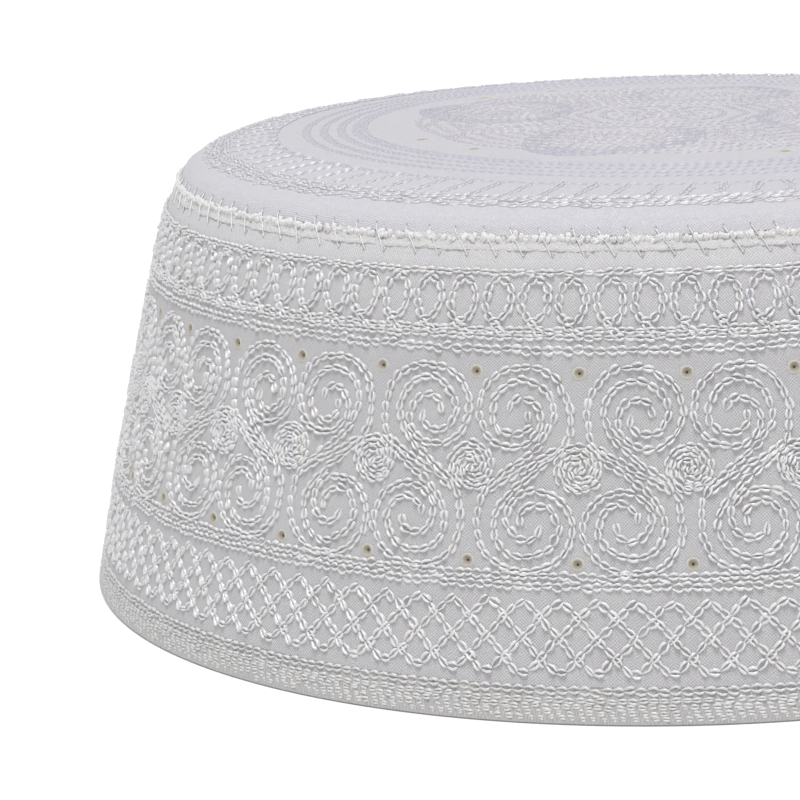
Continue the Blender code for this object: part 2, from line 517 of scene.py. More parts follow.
def scrolls():
    """Two neighbouring scrolls, one the other's mirror image, repeated round the cap."""
    chains = Chains()
    step = 360.0 / SCROLLS_AROUND
    line = scroll_line()
    fill = smooth_line(ARM_FILL)
    mirror = np.array([-1.0, 1.0])
    for plane in (line, -line, fill):
        wall_line(chains, plane, SCROLL_MIDDLE, SCROLL_HEIGHT, SCROLL_PITCH, SCROLL_WIDTH)
        turned = (plane * mirror)[::-1]
        wall_line(chains, turned, SCROLL_MIDDLE + step, SCROLL_HEIGHT, SCROLL_PITCH, SCROLL_WIDTH)
    return chains.repeat(SCROLLS_AROUND // 2)


def rosettes():
    chains = Chains()
    turn = np.linspace(*ROSETTE_TURNS, ROSETTE_POINTS)
    direction = turn * math.tau
    radius = np.minimum(turn * ROSETTE_SPREAD, ROSETTE_RADIUS)
    plane = radius[:, None] * np.stack([np.cos(direction), np.sin(direction)], axis=1)
    middle = SCROLL_MIDDLE + 180.0 / SCROLLS_AROUND
    wall_line(chains, plane, middle, ROSETTE_HEIGHT, ROSETTE_PITCH, SCROLL_WIDTH)
    return chains.repeat(SCROLLS_AROUND)


def loops():
    chains = Chains()
    wall_line(chains, smooth_line(LOOP), FIRST_LOOP, LOOP_HEIGHT, LOOP_PITCH, LOOP_WIDTH)
    return chains.repeat(LOOPS_AROUND)


def lattice():
    """Rounded zigzags; one line down and up again is four steps long."""
    chains = Chains()
    step = 360.0 / LATTICE_STEPS
    middle = (LATTICE_LOW + LATTICE_HIGH) / 2
    reach = (LATTICE_HIGH - LATTICE_LOW) / 2
    share = np.linspace(0.0, 1.0, LATTICE_POINTS)
    wave = np.arcsin(LATTICE_POINTED * np.cos(share * math.tau)) / math.asin(LATTICE_POINTED)
    angle = LATTICE_FIRST + share * 4 * step
    points, normals = on_wall(angle, middle + reach * wave)
    chains.add(points, normals, LATTICE_PITCH, LATTICE_WIDTH)
    return chains.repeat(LATTICE_STEPS)


def side_lines():
    return ring_rows(SIDE_LINES, on_wall, "height")


def hem_rows():
    return ring_rows(HEM_ROWS, on_wall, "height")


# Crown embroidery

# Rings: radius, width and link length; the last one is the border's inner line
CROWN_RINGS = table(
    "radius width pitch",
    (46.4, 1.25, 1.5),
    (47.5, 1.2, 1.5),
    (49.8, 1.3, 1.5),
    (52.5, 1.3, 1.5),
    (55.2, 1.25, 1.5),
    (60.25, 1.05, 1.5),
)

# Border: a braid of rows round the crown, the outer one scalloped, and short stems of links inside it
BORDER_ROWS = table(
    "radius width pitch deep",
    (67.7, 1.1, 1.5, 0.0),
    (69.1, 1.15, 1.5, 0.15),
    (70.6, 1.2, 1.5, 0.35),
)
BORDER_STEMS = 86
FIRST_STEM = -1.3
STEM = table(
    "turn radius",
    (-0.95, 66.9),
    (-0.5, 65.3),
    (0.0, 63.5),
    (0.45, 61.8),
    (0.85, 60.0),
)
STEM_PITCH = 1.5
STEM_WIDTH = 1.3

# Medallion: one petal's outline about its middle, and the smaller marks between two petals, all in
# millimetres to the right and away from the front
PETAL_MIDDLE = (-8.0, -26.0)
PETAL = (
    (-12.5, -3.0), (-10.6, -8.6), (-5.0, -12.2), (2.5, -10.8), (9.0, -6.8), (13.2, -0.5), (13.4, 6.3),
    (8.5, 10.4), (1.5, 11.4), (-6.0, 10.0), (-11.2, 4.6),
)
PETAL_EDGE = (1.0, 0.93, 0.86, 0.79)
# How far the petal's rows drift as they shrink, which makes its edge broad in front and narrow behind
PETAL_DRIFT = (3.0, 5.5)
PETAL_INSIDE = (0.68, 0.57, 0.46, 0.35, 0.24, 0.12)
TONGUES = (
    ((-31.8, -20.5), (-31.6, -16.5), (-30.4, -12.0), (-29.6, -7.5)),
    ((-30.4, -20.0), (-30.2, -16.0), (-29.1, -12.0), (-28.4, -8.5)),
    ((-36.6, -6.5), (-35.6, -3.5)),
    ((-27.2, -12.5), (-26.3, -15.5)),
    ((-21.6, -13.5), (-21.2, -16.5)),
    ((-33.6, -8.0), (-32.8, -10.6)),
)
LEAF_MIDDLE = (11.5, -22.5)
LEAF = ((-2.2, 8.8), (-3.6, 3.0), (-2.6, -3.2), (1.2, -9.4), (4.2, -4.0), (4.0, 2.2), (1.4, 7.2))
LEAF_SHRINK = (1.0, 0.72, 0.44)
PETALS = 4
FLOWER_RINGS = (2.2, 4.4, 9.4)
FLOWER_RAYS = 12
FLOWER_RAY = ((0.0, -5.3), (0.0, -8.6))
FILL_RINGS = (12.5, 15.0, 17.5, 20.0, 22.5, 25.0, 27.5, 30.0, 32.5, 35.0, 37.3)
FILL_WAVES = 8
FILL_DEEP = 0.5
MEDALLION_PITCH = 1.55
MEDALLION_WIDTH = 1.05


def crown_rings():
    return ring_rows(CROWN_RINGS, on_level_crown, "radius")


def border_stems():
    chains = Chains()
    points, normals = on_level_crown(FIRST_STEM + column(STEM, "turn"), column(STEM, "radius"))
    chains.add(points, normals, STEM_PITCH, STEM_WIDTH)
    return chains.repeat(BORDER_STEMS)


def border():
    return ring_rows(BORDER_ROWS, on_level_crown, "radius", BORDER_STEMS)


def crown_line(chains, plane, closed=False):
    """Lays medallion links along a line given in millimetres across the crown."""
    radius = np.hypot(plane[:, 0], plane[:, 1])
    angle = np.degrees(np.arctan2(plane[:, 0], -plane[:, 1]))
    points, normals = on_level_crown(angle, radius)
    chains.add(points, normals, MEDALLION_PITCH, MEDALLION_WIDTH, closed)


def petals(shares):
    """Four petals, each drawn as rows at shares of its outline."""
    chains = Chains()
    outline = smooth_line(PETAL + PETAL[:1])[:-1]
    for share in shares:
        middle = np.array(PETAL_MIDDLE) + np.array(PETAL_DRIFT) * (1.0 - share)
        crown_line(chains, middle + outline * share, closed=True)
    return chains.repeat(PETALS)


def petal_edges():
    return petals(PETAL_EDGE)


def medallion_marks():
    """The leaves and marks between the petals, and a flower in the middle."""
    chains = Chains()
    outline = smooth_line(LEAF + LEAF[:1])[:-1]
    for share in LEAF_SHRINK:
        crown_line(chains, np.array(LEAF_MIDDLE) + outline * share, closed=True)
    for tongue in TONGUES:
        crown_line(chains, smooth_line(tongue))
    chains.repeat(PETALS)
    for radius in FLOWER_RINGS:
        ring_line(chains, on_level_crown, radius, MEDALLION_PITCH, MEDALLION_WIDTH)
    rays = Chains()
    crown_line(rays, np.array(FLOWER_RAY))
    return chains.join(rays.repeat(FLOWER_RAYS))


def medallion_fill():
    """Faint rows that fill the petals and the ground between them."""
    chains = petals(PETAL_INSIDE)
    for radius in FILL_RINGS:
        ring_line(
            chains, on_level_crown, radius, MEDALLION_PITCH, MEDALLION_WIDTH, FILL_WAVES, FILL_DEEP
        )
    return chains


# Cloth

# Edges between faces that meet more sharply than this, in degrees, aren't smoothed
CLOTH_SHARP = 40.0
RING_SHARP = 50.0
# A grid line keeps this share of a step clear of each eyelet's own lines
GRID_CLEAR = 0.35
# Steps of the cloths' grids, in degrees round and millimetres up or out
BAND_GRID = dict(around=1.25, up=2.2)
CROWN_GRID = dict(around=2.5, out=2.0)
# How far an eyelet's own grid lines reach from its middle in millimetres, the radius by which the side's
# are turned into degrees, and the reach in degrees on the crown
EYELET_REACH = 1.05
EYELET_WALL_RADIUS = 83.0
CROWN_EYELET_TURN = 1.45
# Extra grid lines where the crown bends down
CROWN_BEND_ROWS = (70.5, 71.4, 73.1, 74.5)


def pierced_shell(name, columns, rows, surface, thickness, holes, cloth_uv, around=None):
    """A closed wall of cloth over a grid that goes right round, with round holes cut through.

    columns are angles and rows are the surface's other coordinate. Each hole is (column, row), the
    indices of its middle, and takes up two cells on each side."""
    wide, tall = len(columns), len(rows)
    angle, place = np.meshgrid(columns, rows, indexing="ij")
    outer, _ = surface(angle, place)
    inner, _ = surface(angle, place, -np.full_like(place, thickness))
    points = [outer.reshape(-1, 3), inner.reshape(-1, 3)]
    uvs = [np.stack(cloth_uv(angle, place), axis=-1).reshape(-1, 2)] * 2
    half = wide * tall
    index = np.arange(half).reshape(wide, tall)
    cells = (-2, -1, 0, 1)
    open_cells = {(across + i, up + j) for across, up in holes for i in cells for j in cells}
    triangles = []
    for i in range(wide):
        following = (i + 1) % wide
        for j in range(tall - 1):
            if (i, j) in open_cells:
                continue
            a, b, c, d = index[i, j], index[following, j], index[following, j + 1], index[i, j + 1]
            triangles += [(a, b, c), (a, c, d)]
            triangles += [(half + a, half + c, half + b), (half + a, half + d, half + c)]
        low, low_next = index[i, 0], index[following, 0]
        high, high_next = index[i, -1], index[following, -1]
        triangles += [(low, half + low, half + low_next), (low, half + low_next, low_next)]
        triangles += [(high, half + high_next, half + high), (high, high_next, half + high_next)]
    back = (1, 0, -1, -2)
    border = [(2, j) for j in (0, 1, 2)] + [(i, 2) for i in back] + [(-2, j) for j in back]
    border += [(i, -2) for i in (-1, 0, 1, 2)] + [(2, -1)]
    count = 2 * half
    for hole_column, hole_row in holes:
        ring_index = []
        for side, depth in enumerate((0.0, -thickness)):
            centre, normal = surface(columns[hole_column], rows[hole_row], np.array(depth))
            ring = []
            for i, j in border:
                corner = points[side][index[(hole_column + i) % wide, hole_row + j]]
                flat = corner - centre
                flat = flat - normal * (flat @ normal)
                ring.append(centre + flat / np.linalg.norm(flat) * EYELET_RADIUS)
            points.append(np.array(ring))
            middle = np.array(cloth_uv(columns[hole_column], rows[hole_row]))
            uvs.append(np.tile(middle, (len(border), 1)))
            ring_index.append(np.arange(count, count + len(border)))
            count += len(border)
        for k, (i, j) in enumerate(border):
            following = (k + 1) % len(border)
            i_next, j_next = border[following]
            here = index[(hole_column + i) % wide, hole_row + j]
            there = index[(hole_column + i_next) % wide, hole_row + j_next]
            (near, near_next), (far, far_next) = (
                (ring_index[side][k], ring_index[side][following]) for side in (0, 1)
            )
            triangles += [(here, there, near_next), (here, near_next, near)]
            triangles += [(half + here, far_next, half + there), (half + here, far, far_next)]
            triangles += [(near, near_next, far_next), (near, far_next, far)]
    return new_mesh(
        name, np.concatenate(points), np.array(triangles), np.concatenate(uvs), around, sharp=CLOTH_SHARP
    )


def nearest(values, place):
    """The index of the value closest to a place."""
    return int(np.argmin(abs(values - place)))


def lines_with_holes(start, stop, gap, middles, reach):
    """Grid lines about a gap apart, with five at each hole's middle, and the middles' indices."""
    near = np.array([-reach, -reach / 2, 0.0, reach / 2, reach])
    fixed = np.concatenate([middle + near for middle in middles]) if len(middles) else np.array([])
    count = max(1, round((stop - start) / gap))
    spread = np.linspace(start, stop, count + 1)
    apart = reach + GRID_CLEAR * gap
    clear = [value for value in spread if all(abs(value - middle) > apart for middle in middles)]
    values = np.sort(np.concatenate([clear, fixed]))
    return values, [nearest(values, middle) for middle in middles]


def band_cloth(material):
    repeat = 360.0 / EYELETS_AROUND
    reach = np.degrees(EYELET_REACH / EYELET_WALL_RADIUS)
    one, _ = lines_with_holes(-repeat / 2, repeat / 2, BAND_GRID["around"], [0.0], reach)
    one = one[:-1]
    columns = np.concatenate([FIRST_EYELET + k * repeat + one for k in range(EYELETS_AROUND)])
    rows, _ = lines_with_holes(BAND_LOW, BAND_HIGH, BAND_GRID["up"], SIDE_EYELET_HEIGHTS, EYELET_REACH)
    rows = np.unique(np.concatenate([rows, column(WALL, "height")[1:]]))
    hole_rows = [nearest(rows, height) for height in SIDE_EYELET_HEIGHTS]
    middles = [nearest(columns, FIRST_EYELET + k * repeat) for k in range(EYELETS_AROUND)]
    holes = [(middle, row) for middle in middles for row in hole_rows]
    around = math.tau * BAND_MIDDLE

    def band_uv(angle, height):
        return angle / 360.0 * around, height

    mesh = pierced_shell("band_cloth", columns, rows, on_wall, WALL_THICKNESS, holes, band_uv, around)
    piece = new_piece("band_cloth", mesh, material)
    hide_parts("side_band")
    return piece


def crown_eyelets():
    """The angles of the crown's eyelets, which stand in pairs."""
    return [pair + side * CROWN_EYELET_SPREAD for pair in CROWN_EYELET_PAIRS for side in (-1, 1)]


def crown_cloth(material):
    middles = sorted((middle + 180) % 360 - 180 for middle in crown_eyelets())
    columns, across = lines_with_holes(-180.0, 180.0, CROWN_GRID["around"], middles, CROWN_EYELET_TURN)
    columns = columns[:-1]
    edge = CROWN[-1]["radius"]
    rows, _ = lines_with_holes(CROWN_START, edge, CROWN_GRID["out"], [CROWN_EYELET_RADIUS], EYELET_REACH)
    rows = np.unique(np.concatenate([rows, column(CROWN, "radius")[3:], CROWN_BEND_ROWS]))[::-1]
    hole_row = nearest(rows, CROWN_EYELET_RADIUS)
    holes = [(hole_column, hole_row) for hole_column in across]

    def crown_uv(angle, radius):
        reach = crown_reach(radius)
        return reach * np.sin(np.radians(angle)), -reach * np.cos(np.radians(angle))

    mesh = pierced_shell("crown_cloth", columns, rows, on_crown, CROWN_THICKNESS, holes, crown_uv)
    piece = new_piece("crown_cloth", mesh, material)
    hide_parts("crown")
    return piece


# Seam fold and hem


def closed_ring(name, columns, radius, height, middle_radius, gap):
    """A closed tube round the cap, from its section's radii and heights, which run anticlockwise.

    They may differ from column to column. gap is how much cloth lies between two places of the section."""
    outward, _ = directions(np.radians(columns)[:, None])
    points = outward * radius[..., None] + UP * height[..., None]
    wide, places = points.shape[:2]
    index = np.arange(wide * places).reshape(wide, places)
    a, b = index, np.roll(index, -1, axis=0)
    c, d = np.roll(b, -1, axis=1), np.roll(a, -1, axis=1)
    around = math.tau * middle_radius
    uvs = np.stack(np.meshgrid(columns / 360.0 * around, np.arange(places) * gap, indexing="ij"), axis=-1)
    triangles = split_quads(a, b, c, d)
    return new_mesh(name, points.reshape(-1, 3), triangles, uvs.reshape(-1, 2), around, sharp=RING_SHARP)


# The seam fold's section from its foot up the outside, over the top and down the inside
FOLD = table(
    "radius height ragged",
    (74.2, 61.0, 0.0),
    (75.85, 60.3, 0.2),
    (76.06, 60.45, 1.0),
    (75.98, 60.7, 0.9),
    (75.8, 60.98, 0.7),
    (75.64, 61.22, 0.8),
    (75.5, 61.45, 0.9),
    (75.42, 61.6, 0.7),
    (75.38, 61.75, 0.7),
    (75.36, 61.95, 1.1),
    (75.22, 62.15, 1.3),
    (74.95, 62.3, 1.1),
    (74.5, 62.35, 0.2),
    (73.8, 61.8, 0.0),
)
FOLD_COLUMNS = 1440
FOLD_MIDDLE = 76.0
FOLD_GAP = 0.5
# The fold's unevenness: waves round the cap, the share of such waves that it rises by, and finer grit
FOLD_WAVES = table(
    "around deep",
    (31, 0.06),
    (53, 0.06),
    (97, 0.07),
    (211, 0.05),
)
FOLD_RISE = 0.6
FOLD_GRIT = 0.07


def ring_waves(columns, waves):
    """An uneven line round the cap, from waves with seeded phases."""
    angle = np.radians(columns)
    return sum(row["deep"] * np.sin(row["around"] * angle + rng.uniform(0, math.tau)) for row in waves)


def seam_fold(material):
    columns = np.arange(FOLD_COLUMNS) * 360.0 / FOLD_COLUMNS
    ragged = column(FOLD, "ragged")
    out = ring_waves(columns, FOLD_WAVES)[:, None] * ragged
    rise = ring_waves(columns, FOLD_WAVES)[:, None] * ragged
    grit = rng.normal(0.0, FOLD_GRIT, (FOLD_COLUMNS, len(FOLD))) * ragged
    radius = column(FOLD, "radius") + out + grit
    height = column(FOLD, "height") + rise * FOLD_RISE + grit
    mesh = closed_ring("seam_roll", columns, radius, height, FOLD_MIDDLE, FOLD_GAP)
    piece = new_piece("seam_roll", mesh, material)
    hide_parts("seam_fold")
    return piece


TUFTS_AROUND = 900
TUFT_RADIUS = 75.5
TUFT_FOOT = 61.32
TUFT_FOOT_SPREAD = 0.08
TUFT_RISE = 0.9
TUFT_RISES = (0.55, 1.15)
TUFT_SWING = 0.12
TUFT_SWING_SPREAD = 0.34
TUFT_WIDTH = 0.64
# How far a tuft leans inwards for each millimetre that it rises
TUFT_LEAN = 0.45


def seam_tufts():
    """Frayed ends that stand close together along the fold's upper edge."""
    chains = Chains()
    turn = np.radians(np.arange(TUFTS_AROUND) * 360.0 / TUFTS_AROUND)
    outward, level = directions(turn)
    foot = TUFT_FOOT + rng.normal(0.0, TUFT_FOOT_SPREAD, (TUFTS_AROUND, 1))
    rise = TUFT_RISE * rng.uniform(*TUFT_RISES, (TUFTS_AROUND, 1))
    swing = rng.normal(TUFT_SWING, TUFT_SWING_SPREAD, (TUFTS_AROUND, 1))
    chains.starts.append(outward * TUFT_RADIUS + UP * foot)
    chains.reaches.append(UP * rise + level * swing - outward * rise * TUFT_LEAN)
    chains.normals.append(outward + UP * TUFT_LEAN)
    chains.widths.append(np.full(TUFTS_AROUND, TUFT_WIDTH))
    return chains


# Overcast threads: from a pinhole in the crown over the fold to the side's cloth
OVERCAST_AROUND = 118
OVERCAST = table(
    "turn radius height",
    (-0.8, 74.65, 63.05),
    (-0.62, 75.0, 62.7),
    (-0.38, 75.35, 62.25),
    (-0.02, 75.6, 61.7),
    (0.34, 75.87, 61.1),
    (0.56, 76.12, 60.65),
    (0.95, 76.35, 59.75),
)
OVERCAST_THICK = 0.1
OVERCAST_SIDES = 5
# Unevenness of the threads' places in degrees, and how much each one slants
OVERCAST_SPREAD = 0.28
OVERCAST_SLANTS = (0.75, 1.15)
# Painted shade: a dark pinhole on the crown, and two dark wedges where each thread's end casts its shadow on
# the side
# Each mark is convex and its corners run anticlockwise as seen from outside
PIN_SHADE_SHAPES = table(
    "turn height points",
    (-0.8, 63.2, ((-0.13, 0.04), (0.0, -0.24), (0.12, 0.0), (0.02, 0.22))),
    (0.95, 59.8, ((-0.4, 0.5), (-0.06, -0.36), (0.06, -0.34), (-0.26, 0.52))),
    (0.95, 59.8, ((-0.02, -0.38), (0.08, -0.36), (0.34, 0.34), (0.24, 0.38))),
)
PIN_SHADE_SIZES = (0.7, 1.0)
# How far the marks lie above the side and the crown
PIN_ABOVE_WALL = 0.05
PIN_ABOVE_CROWN = 0.06


def overcast_turns():
    """Where each overcast stitch is, unevenly spaced as by hand."""
    turns = np.arange(OVERCAST_AROUND) * 360.0 / OVERCAST_AROUND
    return turns + np.random.default_rng(4).normal(0.0, OVERCAST_SPREAD, OVERCAST_AROUND)


def overcast_threads(material):
    slant = rng.uniform(*OVERCAST_SLANTS, (OVERCAST_AROUND, 1))
    turn = overcast_turns()[:, None] + column(OVERCAST, "turn") * slant
    outward, level = directions(np.radians(turn))
    path = outward * column(OVERCAST, "radius")[:, None] + UP * column(OVERCAST, "height")[:, None]
    run = np.gradient(path, axis=1)
    run /= np.linalg.norm(run, axis=-1, keepdims=True)
    top = np.cross(run, level)
    top /= np.linalg.norm(top, axis=-1, keepdims=True)
    side = (np.arange(OVERCAST_SIDES) * math.tau / OVERCAST_SIDES)[:, None]
    ring = level[:, :, None] * np.cos(side) + top[:, :, None] * np.sin(side)
    points = path[:, :, None] + ring * OVERCAST_THICK
    index = np.arange(points.size // 3).reshape(points.shape[:3])
    mesh = new_mesh("overcast_threads", points.reshape(-1, 3), tube_triangles(index, 2))
    add_painted_shade(mesh, np.ones(points.size // 3))
    new_piece("overcast_threads", mesh, material)


def painted_pin_shade(material):
    """Painted shade where the overcast threads go in, as small dark marks that lie on the cloth: one for
    each pinhole's shade on the crown, and wedges for the shadow under each thread's end on the side.
    """
    points, triangles = [], []
    count = 0
    for turn in overcast_turns():
        for shape in PIN_SHADE_SHAPES:
            corners = np.array(shape["points"]) * rng.uniform(*PIN_SHADE_SIZES)
            height = shape["height"] + corners[:, 1]
            if shape["height"] < BAND_HIGH:
                angle = turn + shape["turn"] + np.degrees(corners[:, 0] / wall_radius(shape["height"]))
                place, _ = on_wall(angle, height, PIN_ABOVE_WALL)
            else:
                radius = np.interp(-height, -column(CROWN, "height"), column(CROWN, "radius"))
                angle = turn + shape["turn"] + np.degrees(corners[:, 0] / radius)
                place, _ = on_crown(angle, radius, PIN_ABOVE_CROWN)
            points.append(place)
            triangles += [(count, count + k, count + k + 1) for k in range(1, len(corners) - 1)]
            count += len(corners)
    mesh = new_mesh("painted_pin_shade", np.concatenate(points), np.array(triangles))
    new_piece("painted_pin_shade", mesh, material)


# The hem cloth's section from its foot up the outside and down the inside
HEM = table(
    "radius height",
    (89.0, 0.0),
    (91.2, 0.0),
    (91.4, 0.25),
    (90.15, 4.75),
    (90.08, 4.9),
    (87.95, 4.9),
    (88.2, 4.5),
    (88.8, 0.2),
)
HEM_COLUMNS = 360
HEM_MIDDLE = 90.0
HEM_GAP = 1.2


def hem_cloth(material):
    columns = np.arange(HEM_COLUMNS) * 360.0 / HEM_COLUMNS
    radius, height = column(HEM, "radius"), column(HEM, "height")
    mesh = closed_ring("hem_cloth", columns, radius, height, HEM_MIDDLE, HEM_GAP)
    piece = new_piece("hem_cloth", mesh, material)
    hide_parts("hem")
    return piece


# Eyelet rims: close thread round each hole that goes over its edge and down inside, from outside in
# The last column is painted shade: the thread is painted darker as it goes down into the hole, where shade
# falls
RIM = table(
    "radius height pale",
    (0.98, -0.02, 1.0),
    (0.84, 0.08, 0.9),
    (0.66, 0.08, 0.55),
    (0.5, -0.08, 0.3),
    (0.14, -0.3, 0.05),
)
RIM_TURNS = 20
RIM_RIPPLE = 0.05


def eyelet_frames():
    """Where each eyelet is: its middle, the cloth's normal, and a direction along the cloth."""
    angles = FIRST_EYELET + np.arange(EYELETS_AROUND) * 360.0 / EYELETS_AROUND
    places = [on_wall(angles, np.full_like(angles, height)) for height in SIDE_EYELET_HEIGHTS]
    crown = np.array(crown_eyelets())
    places.append(on_crown(crown, np.full_like(crown, CROWN_EYELET_RADIUS)))
    middles = np.concatenate([points for points, _ in places])
    normals = np.concatenate([facing for _, facing in places])
    level = np.cross(normals, UP)
    level /= np.linalg.norm(level, axis=1, keepdims=True)
    return middles, normals, level


def eyelet_rims(material):
    middles, normals, level = eyelet_frames()
    rise = np.cross(normals, level)
    turn = np.arange(RIM_TURNS) * math.tau / RIM_TURNS
    ripple = 1.0 + RIM_RIPPLE * np.cos(np.arange(RIM_TURNS) * math.pi)
    radius = column(RIM, "radius")[None] * ripple[:, None]
    across = radius * np.cos(turn)[:, None]
    upward = radius * np.sin(turn)[:, None]
    one = np.stack([across, upward, column(RIM, "height")[None] + 0 * across], axis=-1).reshape(-1, 3)
    basis = np.stack([level, rise, normals], axis=1)
    points = middles[:, None] + np.einsum("pi,nij->npj", one, basis)
    index = np.arange(len(one)).reshape(RIM_TURNS, len(RIM))
    ring = tube_triangles(index, 0)
    offsets = np.arange(len(middles))[:, None, None] * len(one)
    mesh = new_mesh("eyelet_rims", points.reshape(-1, 3), (ring[None] + offsets).reshape(-1, 3))
    add_painted_shade(mesh, np.tile(column(RIM, "pale"), RIM_TURNS * len(middles)))
    new_piece("eyelet_rims", mesh, material)


# Materials

WEAVE_PITCH = 0.22
WEAVE_DEPTH = 0.09
FIBRE_DEPTH = 0.03
RIM_DEPTH = 0.05
# Where in the patchy noise the tinge starts, and how fast it becomes full
TINGE_START = 0.35
TINGE_RISE = 3.0
# How much of a thread's colour follows its painted shade, and how much its fibres
PAINTED_SHADE_SHARE = 0.75
FIBRE_SHARE = 0.25


class Nodes:
    """Small helper that adds nodes to a material and links them in one call."""

    def __init__(self, name):
        self.material = bpy.data.materials.new(name)
        self.material.use_nodes = True
        self.tree = self.material.node_tree
        self.shader = self.tree.nodes["Principled BSDF"]

    def add(self, kind, settings=None, **inputs):
        node = self.tree.nodes.new(kind)
        for name, value in (settings or {}).items():
            setattr(node, name, value)
        for name, value in inputs.items():
            numbered = name[0] == "i" and name[1:].isdigit()
            self.put(node.inputs[int(name[1:]) if numbered else name], value)
        return node

    def put(self, socket, value):
        if isinstance(value, bpy.types.NodeSocket):
            self.tree.links.new(value, socket)
        else:
            socket.default_value = value

    def noise(self, place, scale, detail):
        return self.add("ShaderNodeTexNoise", Vector=place, Scale=scale, Detail=detail).outputs

    def on_object(self):
        return self.add("ShaderNodeTexCoord").outputs["Object"]

    def math(self, operation, first, second=0.0):
        return self.add("ShaderNodeMath", dict(operation=operation), i0=first, i1=second).outputs[0]

    def blend(self, factor, low, high):
        node = self.add("ShaderNodeMix", dict(data_type="RGBA"))
        self.put(node.inputs[0], factor)
        self.put(node.inputs[6], low)
        self.put(node.inputs[7], high)
        return node.outputs[2]

    def painted_shade_tone(self, unshaded, fibre):
        """Lighter where the thread stands high and darker low down, as painted shade, with its fibres
        showing.
        """
        return self.math(
            "ADD", self.math("MULTIPLY", unshaded, PAINTED_SHADE_SHARE), self.math("MULTIPLY", fibre, FIBRE_SHARE)
        )

    def tinged(self, patchy, light, tinge):
        """The light colour with patches of the tinge."""
        share = self.math("MULTIPLY", self.math("SUBTRACT", patchy, TINGE_START), TINGE_RISE)
        share = self.math("MAXIMUM", self.math("MINIMUM", share, 1.0), 0.0)
        return self.blend(share, (*light, 1.0), (*tinge, 1.0))

    def surface(self, colour, roughness, bump=None, depth=0.0, **more):
        self.put(self.shader.inputs["Base Color"], colour)
        self.put(self.shader.inputs["Roughness"], roughness)
        for name, value in more.items():
            self.put(self.shader.inputs[name.replace("_", " ")], value)
        if bump is not None:
            node = self.add("ShaderNodeBump", Height=bump, Distance=depth * MM, Strength=1.0)
            self.put(self.shader.inputs["Normal"], node.outputs["Normal"])
        return self.material


# The side's cloth is lighter near its seam: the heights between which it turns, and by how much
LIGHTER_STRIP = dict(low=49.0, high=58.0, gain=1.15)


def cloth_material(name, dark, light, tinge, clean=None):
    """Fine plain-woven cotton: raised threads by turns over and under, with uneven patches of a tinge."""
    nodes = Nodes(name)
    place = nodes.add("ShaderNodeUVMap", dict(uv_map="cloth")).outputs[0]
    wavy = nodes.noise(place, 0.9, 1.0)[1]
    bend = dict(operation="MULTIPLY_ADD")
    bent = nodes.add("ShaderNodeVectorMath", bend, i0=wavy, i1=(0.5, 0.5, 0.0), i2=place)
    parts = nodes.add("ShaderNodeSeparateXYZ", i0=bent.outputs[0])
    turns = [nodes.math("MULTIPLY", parts.outputs[axis], math.pi / WEAVE_PITCH) for axis in (0, 1)]
    waves = [nodes.math("SINE", turn) for turn in turns]
    weave = nodes.math("ADD", nodes.math("MULTIPLY", nodes.math("MULTIPLY", *waves), 0.5), 0.5)
    patchy = nodes.noise(place, 0.35, 3.0)[0]
    fuzz = nodes.noise(place, 3.0, 3.0)[0]
    tone = nodes.math("ADD", nodes.math("MULTIPLY", weave, 0.6), nodes.math("MULTIPLY", patchy, 0.25))
    tone = nodes.math("ADD", tone, nodes.math("MULTIPLY", fuzz, 0.35))
    colour = nodes.blend(tone, (*dark, 1.0), nodes.tinged(patchy, light, tinge))
    if clean is not None:
        up = nodes.add("ShaderNodeSeparateXYZ", i0=place).outputs[1]
        near = nodes.add("ShaderNodeMapRange", i0=up, i1=clean["low"], i2=clean["high"]).outputs[0]
        brighter = nodes.add("ShaderNodeVectorMath", dict(operation="SCALE"), i0=colour, Scale=clean["gain"])
        colour = nodes.blend(near, colour, brighter.outputs[0])
    height = nodes.math("ADD", weave, nodes.math("MULTIPLY", fuzz, 0.8))
    return nodes.surface(colour, 0.82, height, WEAVE_DEPTH, Sheen_Weight=0.15)


def thread_material(name, dark, light, tinge, roughness):
    """Glossy embroidery thread with painted shade, darker where it goes down into the cloth, with a tinge
    here and there.
    """
    nodes = Nodes(name)
    unshaded = nodes.add("ShaderNodeAttribute", dict(attribute_name="unshaded")).outputs["Fac"]
    place = nodes.on_object()
    fibre = nodes.noise(place, 5000.0, 3.0)[0]
    patchy = nodes.noise(place, 260.0, 1.0)[0]
    tone = nodes.painted_shade_tone(unshaded, fibre)
    colour = nodes.blend(tone, (*dark, 1.0), nodes.tinged(patchy, light, tinge))
    return nodes.surface(colour, roughness, fibre, FIBRE_DEPTH, Specular_IOR_Level=0.75)


def rim_material():
    nodes = Nodes("eyelet_thread")
    unshaded = nodes.add("ShaderNodeAttribute", dict(attribute_name="unshaded")).outputs["Fac"]
    patchy = nodes.noise(nodes.on_object(), 2500.0, 2.0)[0]
    tone = nodes.painted_shade_tone(unshaded, patchy)
    # The thread's own brownish tone, painted darker down in the hole as shade
    colour = nodes.blend(tone, (0.24, 0.20, 0.14, 1.0), (0.66, 0.64, 0.58, 1.0))
    return nodes.surface(colour, 0.75, patchy, RIM_DEPTH)


def painted_shade_material():
    nodes = Nodes("painted_pin_shade_mark")
    patchy = nodes.noise(nodes.on_object(), 1500.0, 2.0)[0]
    # Grey painted shade for the pinholes and the threads' shadows
    colour = nodes.blend(patchy, (0.34, 0.335, 0.34, 1.0), (0.46, 0.45, 0.455, 1.0))
    return nodes.surface(colour, 0.9)


def floor_material():
    nodes = Nodes("floor")
    grain = nodes.noise(nodes.on_object(), 60.0, 2.0)[0]
    colour = nodes.blend(grain, (0.93, 0.93, 0.93, 1.0), (0.95, 0.95, 0.95, 1.0))
    return nodes.surface(colour, 0.9)


# Camera, lights and floor

